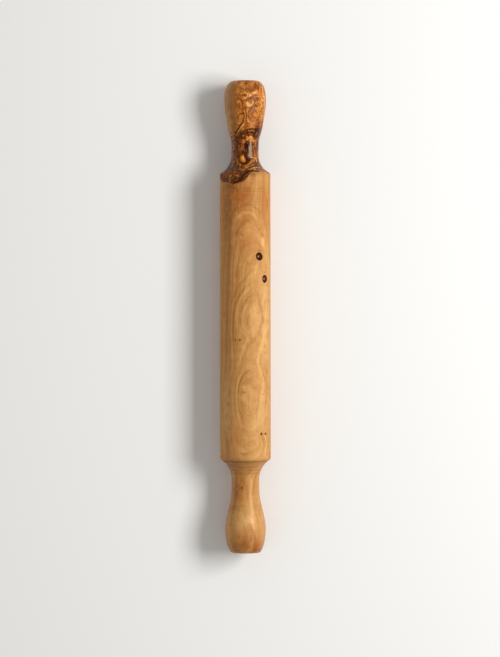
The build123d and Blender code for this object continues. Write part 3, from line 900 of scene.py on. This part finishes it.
def paint_body(mesh):
    """Stores the fields of the figure on the body's points."""
    p = points_of(mesh)
    x = p[:, 0]
    angle, radius = angle_and_radius(p)
    store(mesh, "layer", layer_height(p))
    outward = np.where(x > PIN_END - 0.4, np.minimum(radius / BURL_GRIP.face, 1), 1)
    burl = burl_share(x, angle, outward)
    store(mesh, "burl", burl)
    store(mesh, "deep", burl * deep_share(p))
    at_end = smooth(np.abs(x), PIN_END - 1.0, PIN_END - 0.3)
    store(mesh, "end", at_end * smooth(END_SHADE_REACH - radius, 0, 1.0))
    store(mesh, "handled", smooth(np.abs(x), *HANDLED_FROM))
    # Depth of the tool grooves, by which they are darkened: painted shade in the grooves
    grooves = sum(depth * hump(x, place, width) for place, width, depth in GROOVES)
    store(mesh, "groove", np.clip(grooves / 0.3, 0, 1) ** 0.7)
    for kind, strokes in STROKES.items():
        distance, strength = stroke_fields(p, strokes)
        store(mesh, kind + "_gap", distance)
        store(mesh, kind + "_power", strength)
    for kind, patches in PATCHES.items():
        store(mesh, kind, patch_field(p, patches))
    # Depth below the finished surface, on the walls of the sockets, by which they are darkened: painted
    # shade between the pieces and the body
    depth = surface_radius(x, angle) - radius
    store(mesh, "sunk", np.clip(depth, 0, 1) * (np.abs(x) < PIN_END - 2.0))


def paint_knot(mesh, axes):
    """Stores each point's distance, in millimetres, from the pale spot near the middle of its knot."""
    origin, u, v, w = axes
    away = points_of(mesh) - origin - PALE_SPOT[0] * u - PALE_SPOT[1] * v
    store(mesh, "from_middle", np.linalg.norm(away - (away @ w)[:, None] * w, axis=1))


def linear(rgb):
    """Colour given as it looks on a screen, 0 to 255, made linear."""
    share = np.array(rgb) / 255
    out = np.where(share <= 0.04045, share / 12.92, ((share + 0.055) / 1.055) ** 2.4)
    return tuple(float(c) for c in out) + (1.0,)


# Materials: colours are given as they look on a screen, 0 to 255

# Tint of the gloss, which the oil makes warm
SHEEN = (255, 216, 182)
WOOD_GLOSS = 0.38
HEART_GLOSS = 0.1
BARK_GLOSS = 0.06
BARREL_ROUGHNESS, GRIP_ROUGHNESS = 0.66, 0.35
# Clouds and strands of colour in the plain wood: scale along each axis, offset, detail, roughness, the
# values of the noise between which they come up, strength, shade
CLOUDS = [
    ((75, 240, 240), (2, 6, 9), 3, 0.6, 0.36, 0.70, 0.30, (166, 106, 52)),
    ((330, 70, 70), (6, 1, 1), 2, 0.6, 0.42, 0.72, 0.14, (232, 180, 110)),
    ((16, 60, 60), (1, 9, 4), 3, 0.55, 0.46, 0.72, 0.34, (190, 112, 62)),
    ((14, 48, 48), (8, 2, 6), 2, 0.5, 0.52, 0.76, 0.22, (160, 114, 62)),
    ((60, 800, 800), (1, 2, 3), 2, 0.6, 0.40, 0.70, 0.16, (150, 92, 42))]


class Graph:
    """Short ways to add and link a material's nodes."""

    def __init__(self, name):
        self.material = bpy.data.materials.new(name)
        self.material.use_nodes = True
        self.nodes = self.material.node_tree.nodes
        self.links = self.material.node_tree.links
        self.nodes.clear()

    def put(self, socket, value):
        if isinstance(value, bpy.types.NodeSocket):
            self.links.new(value, socket)
        elif value is not None:
            socket.default_value = value

    def node(self, kind, inputs, **settings):
        """A new node with its settings and its inputs, which have names or numbers."""
        node = self.nodes.new("ShaderNode" + kind)
        for name, value in settings.items():
            setattr(node, name, value)
        for name, value in inputs.items():
            self.put(node.inputs[name], value)
        return node

    def attribute(self, name):
        return self.node("Attribute", {}, attribute_name=name).outputs["Fac"]

    def place(self, scale, offset=(0, 0, 0)):
        """Place on the object, in metres, times a scale along each axis."""
        spot = self.node("TexCoord", {}).outputs["Object"]
        return self.node("Mapping", {"Vector": spot, "Scale": scale, "Location": offset}).outputs["Vector"]

    def noise(self, scale, offset=(0, 0, 0), detail=2.0, rough=0.5, distortion=0.0):
        inputs = {
            "Vector": self.place(scale, offset), "Detail": detail, "Roughness": rough,
            "Distortion": distortion, "Scale": 1.0}
        return self.node("TexNoise", inputs).outputs["Fac"]

    def bands(self, value, detail=2.0, rough=0.5):
        """Noise along one value, such as the height through the growth layers."""
        inputs = {"W": value, "Detail": detail, "Roughness": rough, "Scale": 1.0}
        return self.node("TexNoise", inputs, noise_dimensions="1D").outputs["Fac"]

    def cells(self, scale):
        return self.node("TexVoronoi", {"Vector": self.place(scale), "Scale": 1.0}).outputs["Distance"]

    def math(self, operation, *values, clamp=False):
        return self.node("Math", dict(enumerate(values)), operation=operation, use_clamp=clamp).outputs[0]

    def times(self, a, b):
        return self.math("MULTIPLY", a, b)

    def scaled(self, value, factor, added, clamp=False):
        return self.math("MULTIPLY_ADD", value, factor, added, clamp=clamp)

    def sway(self, value, noise, amount):
        """A value pushed to and fro by a noise."""
        return self.scaled(self.math("SUBTRACT", noise, 0.5), amount, value)

    def spread(self, value, low, high, to_low=0.0, to_high=1.0):
        """Soft step from one result at the low value to another at the high one."""
        inputs = dict(enumerate((value, low, high, to_low, to_high)))
        return self.node("MapRange", inputs, interpolation_type="SMOOTHSTEP").outputs["Result"]

    def mix(self, share, a, b):
        """Colour a, with a share of colour b over it."""
        node = self.node("Mix", {0: share}, data_type="RGBA", clamp_factor=True)
        sockets = [s for s in node.inputs if s.type == "RGBA"]
        for socket, colour in zip(sockets, (a, b)):
            self.put(socket, linear(colour) if isinstance(colour, tuple) else colour)
        return [s for s in node.outputs if s.type == "RGBA"][0]

    def ramp(self, value, places, *colours):
        """Colours that follow a value, each at its own place."""
        node = self.node("ValToRGB", {"Fac": value})
        band = node.color_ramp
        while len(band.elements) < len(colours):
            band.elements.new(0.5)
        for element, at, colour in zip(band.elements, places, colours):
            element.position = at
            element.color = linear(colour)
        return node.outputs["Color"]

    def bump(self, height, strength, distance):
        inputs = {"Height": height, "Strength": strength, "Distance": distance}
        return self.node("Bump", inputs).outputs["Normal"]

    def finish(self, colour, roughness, normal, gloss):
        shader = self.node("BsdfPrincipled", {
            "Base Color": colour, "Roughness": roughness, "Normal": normal, "Specular IOR Level": gloss,
            "Specular Tint": linear(SHEEN)})
        self.node("OutputMaterial", {"Surface": shader.outputs["BSDF"]})
        return self.material


def plain_figure(g):
    """Colour of the plain wood: growth bands, dark and pale lines, blotches, fibres and pores."""
    drift = g.noise((30, 110, 110), detail=3.0, rough=0.55)
    fine_drift = g.noise((90, 500, 500), (3, 1, 7))
    layer = g.sway(g.sway(g.attribute("layer"), drift, 0.9), fine_drift, 0.28)
    colour = g.ramp(g.bands(g.times(layer, 0.5)), (0.26, 0.44, 0.56, 0.74),
                    (174, 117, 58), (194, 138, 73), (206, 153, 85), (220, 170, 102))
    colour = g.mix(g.times(g.attribute("calm"), 0.6), colour, (202, 146, 80))
    fade = g.noise((22, 90, 90), (5, 3, 1))
    lines = g.bands(g.scaled(layer, 1.5, 7.3), 1.0, 0.4)
    clear = g.math("SUBTRACT", 1.0, g.attribute("calm"))
    line_share = g.times(g.spread(lines, 0.52, 0.74), g.spread(fade, 0.34, 0.64))
    colour = g.mix(g.times(g.times(line_share, clear), 0.42), colour, (142, 84, 36))
    thin = g.bands(g.scaled(layer, 3.4, 21.0), 1.0)
    colour = g.mix(g.times(g.spread(thin, 0.44, 0.70, 0.0, 0.40), clear), colour, (150, 94, 44))
    pale = g.bands(g.scaled(layer, 2.2, 40.0), 1.0)
    colour = g.mix(g.spread(pale, 0.52, 0.78, 0.0, 0.22), colour, (238, 190, 120))
    for scale, offset, detail, rough, low, high, strength, shade in CLOUDS:
        cloud = g.noise(scale, offset, detail, rough)
        colour = g.mix(g.spread(cloud, low, high, 0.0, strength), colour, shade)
    fibre = g.noise((55, 2300, 2300), detail=2.0, rough=0.6)
    colour = g.mix(g.spread(fibre, 0.30, 0.72, 0.0, 0.20), colour, (140, 84, 38))
    pore = g.spread(g.cells((420, 3600, 3600)), 0.10, 0.22, 1.0, 0.0)
    colour = g.mix(g.times(pore, 0.30), colour, (104, 58, 24))
    turning = g.noise((950, 24, 24), detail=2.0, rough=0.6)
    turned_zone = g.noise((26, 60, 60), (4, 4, 4))
    turning_share = g.times(g.spread(turning, 0.45, 0.72), g.spread(turned_zone, 0.38, 0.60, 0.03, 0.17))
    colour = g.mix(turning_share, colour, (136, 82, 38))
    # Painted shade: the tool grooves are darker the deeper they are
    colour = g.mix(g.times(g.attribute("groove"), 0.75), colour, (112, 64, 28))
    return colour, lines, fibre, pore


def burl_figure(g):
    """Colour of the burl: tangled, from near black through red-brown and orange to straw."""
    zone = g.noise((70, 90, 90), (4, 4, 1), 2.0, 0.5, 0.8)
    swirl = g.noise((85, 120, 120), (2, 5, 3), 2.0, 0.45, 2.2)
    contour = g.bands(g.times(swirl, 13.0), 2.0, 0.55)
    knot = g.noise((300, 360, 360), (7, 1, 2), 3.0, 0.6, 1.4)
    figure = g.sway(g.sway(g.sway(contour, knot, 0.42), swirl, 0.30), zone, 0.55)
    bright = g.ramp(figure, (0.24, 0.36, 0.48, 0.62, 0.78),
                    (84, 34, 4), (132, 64, 11), (170, 92, 22), (194, 118, 38), (230, 166, 82))
    dark = g.ramp(figure, (0.32, 0.44, 0.56, 0.67, 0.80),
                  (18, 5, 1), (50, 17, 2), (94, 40, 7), (156, 80, 20), (226, 148, 60))
    colour = g.mix(g.attribute("deep"), bright, dark)
    line = g.math("ABSOLUTE", g.math("SUBTRACT", contour, 0.47))
    return g.mix(g.spread(line, 0.010, 0.045, 0.45, 0.0), colour, (66, 25, 3))


def patched(g, colour):
    """The plain wood's colour with its broad soft patches, among which are painted sheen, painted bounce
    light and painted shade.
    """
    blur = g.noise((160, 220, 220), (6, 6, 2), 3.0, 0.6)
    # The straw patches carry painted sheen and painted bounce light, and some brown ones painted shade,
    # besides the wood's own colour
    for kind, shade in (("red", (172, 92, 34)), ("brown", (124, 74, 32)), ("straw", (218, 172, 112))):
        colour = g.mix(g.times(g.attribute(kind), g.spread(blur, 0.32, 0.62, 0.30, 1.20)), colour, shade)
    return colour


# Shade of each kind of stroke on plain wood and on the burl, and of a dark stroke on the burl's bright part
STROKE_SHADES = {
    "orange": ((186, 104, 40), (218, 128, 38)),
    "pale": ((232, 182, 112), (236, 174, 96)),
    "dark": ((120, 68, 28), (40, 13, 3))}
DARK_ON_BRIGHT = (84, 34, 6)


def stroked(g, colour, burl):
    """A colour with the strokes of the figure over it, which are ragged on the burl."""
    wobble = g.noise((130, 480, 480), detail=3.0, rough=0.6)
    inner = g.times(burl, 0.30)
    outer = g.scaled(burl, -0.45, 1.85)
    breaks = g.spread(g.noise((150, 420, 420), (8, 8, 1), 2.0, 0.6), 0.30, 0.58, 0.45, 1.0)
    jagged = g.noise((230, 290, 290), (1, 7, 7), 4.0, 0.65, 0.8)
    for kind, (on_plain, on_burl) in STROKE_SHADES.items():
        gap = g.sway(g.attribute(kind + "_gap"), wobble, 1.5)
        gap = g.sway(gap, jagged, g.times(burl, 3.4))
        share = g.times(g.times(g.spread(gap, inner, outer, 1.0, 0.0), g.attribute(kind + "_power")), breaks)
        if kind == "dark":
            on_burl = g.mix(g.attribute("deep"), DARK_ON_BRIGHT, on_burl)
        colour = g.mix(share, colour, g.mix(burl, on_plain, on_burl))
    return colour


def olive_wood():
    """The body's wood: plain, with a burl over one end, glossy where hands hold it."""
    g = Graph("olive_wood_figured")
    colour, lines, fibre, pore = plain_figure(g)
    ragged = g.noise((150, 200, 200), detail=5.0, rough=0.7, distortion=1.0)
    burl = g.spread(g.sway(g.attribute("burl"), ragged, 1.5), 0.22, 0.78)
    colour = g.mix(burl, patched(g, colour), burl_figure(g))
    colour = stroked(g, colour, burl)
    colour = g.mix(g.times(g.attribute("end"), 0.45), colour, (110, 64, 28))
    # Painted shade: the socket walls below the surface are darkened, and made rougher
    sunk = g.attribute("sunk")
    colour = g.mix(g.times(sunk, 0.8), colour, (64, 32, 14))

    sheen = g.noise((60, 160, 160), (3, 3, 8), 3.0, 0.6)
    roughness = g.spread(g.attribute("handled"), 0.0, 1.0, BARREL_ROUGHNESS, GRIP_ROUGHNESS)
    roughness = g.sway(roughness, sheen, 0.14)
    roughness = g.scaled(burl, 0.12, roughness)
    roughness = g.scaled(g.attribute("deep"), -0.25, roughness)
    roughness = g.scaled(sunk, 0.35, roughness, clamp=True)
    grain = g.scaled(pore, -0.8, g.times(fibre, 0.5))
    grain = g.scaled(lines, 0.25, grain)
    grain = g.times(grain, g.scaled(burl, -0.9, 1.0))
    return g.finish(colour, roughness, g.bump(grain, 0.25, 0.00012), WOOD_GLOSS)


def knot_heart(name, *shades):
    """Dead heart of a branch: pale and pinkish in the middle, darker outside."""
    g = Graph(name)
    mottle = g.noise((420, 420, 420), detail=4.0, rough=0.6, distortion=0.8)
    outside = g.ramp(mottle, (0.32, 0.52, 0.74), *shades)
    inside = g.ramp(mottle, (0.30, 0.52, 0.74), (130, 84, 58), (186, 136, 104), (222, 180, 146))
    away = g.sway(g.attribute("from_middle"), mottle, 2.6)
    colour = g.mix(g.spread(away, 0.55, 1.0), inside, outside)
    roughness = g.spread(mottle, 0.3, 0.7, 0.72, 0.55)
    return g.finish(colour, roughness, g.bump(mottle, 0.4, 0.0002), HEART_GLOSS)


def bark(name, *shades):
    """Dead bark, crumbled and pitted."""
    g = Graph(name)
    crumble = g.noise((1100, 1100, 1100), detail=5.0, rough=0.65, distortion=0.6)
    colour = g.ramp(crumble, (0.32, 0.52, 0.74), *shades)
    pits = g.cells((1900, 1900, 1900))
    height = g.scaled(g.spread(pits, 0.05, 0.4), 0.6, crumble)
    roughness = g.spread(crumble, 0.3, 0.7, 0.9, 0.7)
    return g.finish(colour, roughness, g.bump(height, 0.7, 0.0003), BARK_GLOSS)


# Materials of the pieces, each with its dark, middle and light shade
KINDS = {
    "heart": knot_heart("knot_heart_grain", (38, 13, 2), (68, 29, 6), (116, 62, 24)),
    "pale_heart": knot_heart("neck_heart_grain", (96, 46, 24), (150, 90, 60), (200, 140, 104)),
    "brown": bark("neck_knot_bark_crumbled", (84, 38, 16), (132, 76, 44), (184, 122, 82)),
    "bark": bark("knot_bark_crumbled", (30, 10, 1), (60, 25, 4), (124, 68, 26)),
    "pin": bark("pin_knot_crumbled", (84, 38, 12), (122, 64, 24), (164, 98, 46)),
    "faint": bark("faint_pin_knot", (126, 68, 26), (156, 92, 40), (184, 122, 64)),
    "eye": bark("burl_eye_crumbled", (30, 8, 4), (58, 18, 10), (90, 38, 20)),
    "pocket": bark("pocket_bark_crumbled", (32, 12, 4), (64, 28, 10), (116, 60, 24)),
}


def dress(obj, node, material, sharp_angle):
    """Gives an object its material and its place in the frame."""
    obj.data.shade_smooth()
    obj.data.set_sharp_from_angle(angle=math.radians(sharp_angle))
    obj.data.materials.clear()
    obj.data.materials.append(material)
    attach(obj, "root")
    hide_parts(node)


# Angles between faces above which an edge of the body, or of another piece, looks sharp
BODY_SHARP_ANGLE = 38.0
PIECE_SHARP_ANGLE = 50.0

paint_body(body.data)
dress(body, "turned_body", olive_wood(), BODY_SHARP_ANGLE)
for piece, node, slot_name, kind, axes in pieces:
    paint_knot(piece.data, axes)
    dress(piece, node, KINDS[kind], PIECE_SHARP_ANGLE)

# Floor, light and camera

# Half the floor's side, in metres
FLOOR_HALF = 4.0
FLOOR_SHADE = (238, 238, 236)
FLOOR_ROUGHNESS = 0.85
FLOOR_GLOSS = 0.2
# Soft lights: place, width and height in metres, power in watts, colour
LIGHTS = {
    "key": ((0.22, -1.20, 1.18), 0.56, 0.95, 26.5, (1.0, 1.0, 0.99)),
    "fill": ((-0.3, 1.5, 1.5), 2.0, 2.0, 3.0, (1.0, 0.97, 0.94))}
SKY_COLOUR = (1.0, 0.99, 0.98, 1.0)
SKY_STRENGTH = 0.39


def lay_floor():
    mesh = bpy.data.meshes.new("floor")
    corners = [(-1, -1), (1, -1), (1, 1), (-1, 1)]
    mesh.from_pydata([(x * FLOOR_HALF, y * FLOOR_HALF, 0) for x, y in corners], [], [(0, 1, 2, 3)])
    plain = Graph("floor_plain").finish(linear(FLOOR_SHADE), FLOOR_ROUGHNESS, None, FLOOR_GLOSS)
    mesh.materials.append(plain)
    floor = add_object("floor", mesh)


def aim(obj, place, target, up=(1, 0, 0)):
    """Puts an object at a place, looking at the target, with up towards the top of its picture."""
    back = (Vector(place) - Vector(target)).normalized()
    right = Vector(up).cross(back).normalized()
    turn = Matrix((right, back.cross(right), back)).transposed()
    obj.matrix_world = Matrix.Translation(place) @ turn.to_4x4()


def area_light(name, place, width, height, power, colour):
    lamp = bpy.data.lights.new(name, "AREA")
    lamp.shape = "RECTANGLE"
    lamp.size = width
    lamp.size_y = height
    lamp.energy = power
    lamp.color = colour
    aim(add_object(name, lamp), place, (0, 0, AXIS_HEIGHT * MM))


def light_studio():
    for name, settings in LIGHTS.items():
        area_light(name, *settings)
    world = bpy.data.worlds.new("studio")
    world.use_nodes = True
    sky = world.node_tree.nodes["Background"]
    sky.inputs["Color"].default_value = SKY_COLOUR
    sky.inputs["Strength"].default_value = SKY_STRENGTH
    bpy.context.scene.world = world
    bpy.context.scene.view_settings.view_transform = "Standard"


# The pin in the picture of 500 by 657 pixels: its middle, and its length in pixels
PICTURE_WIDTH, PICTURE_HEIGHT = 500, 657
PIN_MIDDLE_COLUMN, PIN_MIDDLE_ROW = 245.3, 316.9
PIXELS_PER_MM = 471.5 / (2 * PIN_END)
CAMERA_DISTANCE = 2600.0
CAMERA_TILT = 0.6
CAMERA_ROLL = -0.06
SENSOR_HEIGHT = 36.0


def place_camera():
    target = Vector((
        (PIN_MIDDLE_ROW - PICTURE_HEIGHT / 2) / PIXELS_PER_MM,
        (PIN_MIDDLE_COLUMN - PICTURE_WIDTH / 2) / PIXELS_PER_MM,
        AXIS_HEIGHT)) * MM
    tilt, roll = math.radians(CAMERA_TILT), math.radians(CAMERA_ROLL)
    place = target + Vector((math.sin(tilt), 0, math.cos(tilt))) * CAMERA_DISTANCE * MM
    lens = bpy.data.cameras.new("camera")
    lens.sensor_fit = "VERTICAL"
    lens.sensor_height = SENSOR_HEIGHT
    lens.lens = SENSOR_HEIGHT * CAMERA_DISTANCE / (PICTURE_HEIGHT / PIXELS_PER_MM)
    camera = add_object("camera", lens)
    aim(camera, place, target, (math.cos(roll), math.sin(roll), 0))
    bpy.context.scene.camera = camera


lay_floor()
light_studio()
place_camera()
